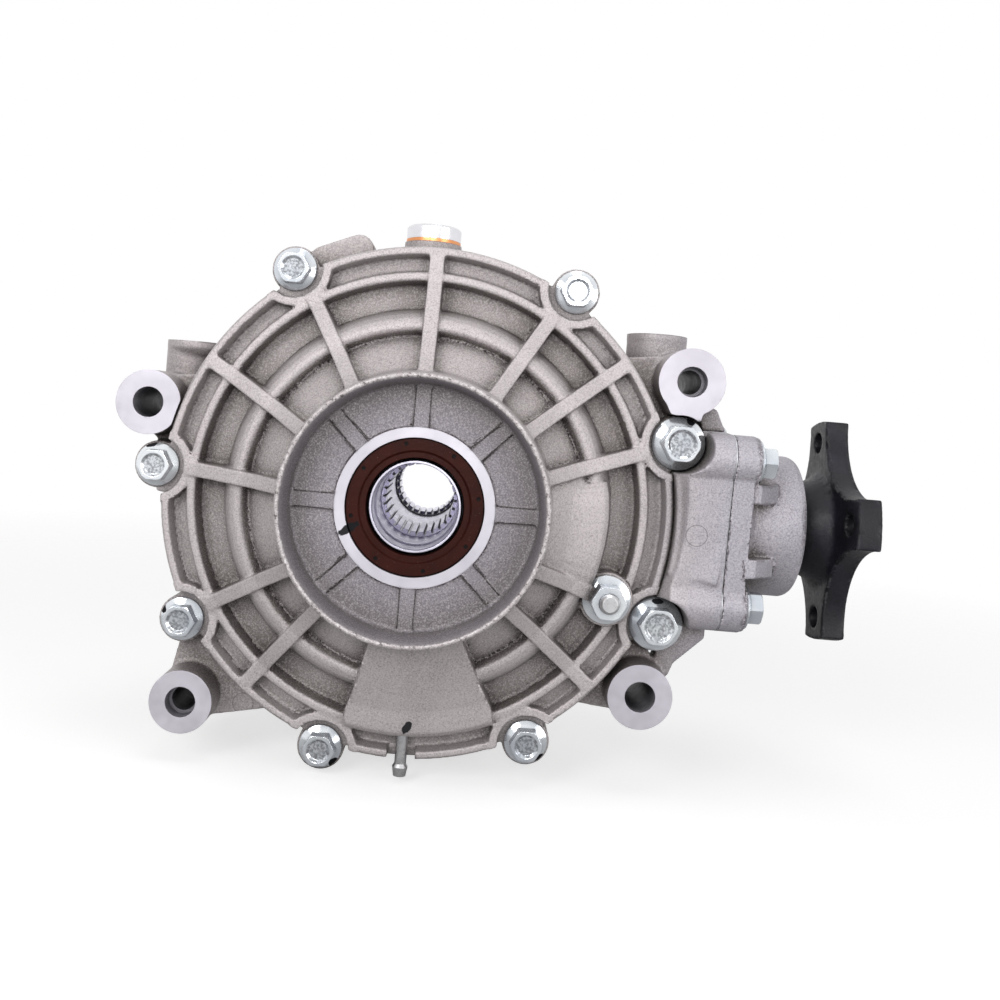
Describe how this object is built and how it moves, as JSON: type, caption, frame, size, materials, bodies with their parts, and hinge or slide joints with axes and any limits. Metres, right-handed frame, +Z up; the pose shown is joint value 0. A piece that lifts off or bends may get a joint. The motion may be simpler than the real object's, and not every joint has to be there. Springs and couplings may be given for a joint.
{
  "type": "rear gearbox",
  "caption": "Right-angle final drive: a ribbed aluminium casing with a spiral bevel gear pair, a hollow splined output sleeve and an input flange.",
  "frame": {"origin": "where the output sleeve's axis meets the pinion's axis, inside the near spline of the sleeve", "axes": "+X along the pinion out of the input flange, +Y along the output sleeve away from the ribbed cover, +Z up through the fill plug"},
  "size_m": [0.3191, 0.174, 0.233],
  "materials": {
    "cast_aluminium": "blasted casting with machined faces",
    "zinc_plate": "bright zinc",
    "bare_steel": "bright turned",
    "plug_aluminium": "turned",
    "copper_washer": "soft copper",
    "bearing_steel": "ground and polished",
    "cage_brass": "machined",
    "shim_steel": "rolled",
    "sleeve_steel": "broached and ground",
    "gear_steel": "hardened and lapped",
    "black_oxide": "oiled black oxide",
    "seal_brown": "moulded, satin",
    "seal_black": "moulded",
    "flange_black": "satin black coating"
  },
  "bodies": {
    "casing": {"main_case": "cast_aluminium", "side_cover": "cast_aluminium", "cover_o_ring": "seal_black", "cover_bolts_m8": "zinc_plate", "cover_bolts_m10": "zinc_plate", "dowel_sleeves": "bare_steel", "inner_stud": "bare_steel", "inner_stud_nut": "zinc_plate", "pinion_housing": "cast_aluminium", "pinion_housing_shim": "shim_steel", "pinion_housing_o_ring": "seal_black", "pinion_housing_bolts": "zinc_plate", "input_oil_seal": "seal_black", "near_oil_seal": "seal_brown", "far_oil_seal": "seal_brown", "fill_plug": "plug_aluminium", "fill_plug_washer": "copper_washer", "drain_plug": "zinc_plate", "drain_plug_washer": "copper_washer", "vent_spigot": "bare_steel", "near_bearing_outer_race": "bearing_steel", "far_bearing_outer_race": "bearing_steel", "far_bearing_shim": "shim_steel", "pinion_bearing_outer_race": "bearing_steel"},
    "output": {"output_sleeve": "sleeve_steel", "sleeve_snap_ring": "black_oxide", "ring_gear": "gear_steel", "ring_gear_bolts": "black_oxide", "near_bearing_inner_race": "bearing_steel", "far_bearing_inner_race": "bearing_steel"},
    "input": {"pinion": "gear_steel", "input_flange": "flange_black", "flange_washer": "bare_steel", "flange_nut": "zinc_plate", "pinion_bearing_inner_race": "bearing_steel"},
    "near_ball_set": {"near_bearing_balls": "bearing_steel", "near_bearing_cage": "cage_brass"},
    "far_ball_set": {"far_bearing_balls": "bearing_steel", "far_bearing_cage": "cage_brass"},
    "pinion_ball_set": {"pinion_bearing_balls": "bearing_steel", "pinion_bearing_cage": "cage_brass"}
  },
  "joints": [
    {"name": "output_spin", "type": "hinge", "parent": "casing", "child": "output", "pos_m": [0, 0, 0], "axis": [0, 1, 0], "continuous": true},
    {"name": "pinion_spin", "type": "hinge", "parent": "casing", "child": "input", "pos_m": [0, 0, 0], "axis": [1, 0, 0], "continuous": true},
    {"name": "near_ball_set_spin", "type": "hinge", "parent": "casing", "child": "near_ball_set", "pos_m": [0, -0.0338, 0], "axis": [0, 1, 0], "continuous": true},
    {"name": "far_ball_set_spin", "type": "hinge", "parent": "casing", "child": "far_ball_set", "pos_m": [0, 0.0855, 0], "axis": [0, 1, 0], "continuous": true},
    {"name": "pinion_ball_set_spin", "type": "hinge", "parent": "casing", "child": "pinion_ball_set", "pos_m": [0.1315, 0, 0], "axis": [1, 0, 0], "continuous": true}
  ],
  "couplings": [
    {"joint": "pinion_spin", "follows": "output_spin", "ratio": -3.2727},
    {"joint": "near_ball_set_spin", "follows": "output_spin", "ratio": 0.42593},
    {"joint": "far_ball_set_spin", "follows": "output_spin", "ratio": 0.42593},
    {"joint": "pinion_ball_set_spin", "follows": "output_spin", "ratio": -1.3283}
  ]
}
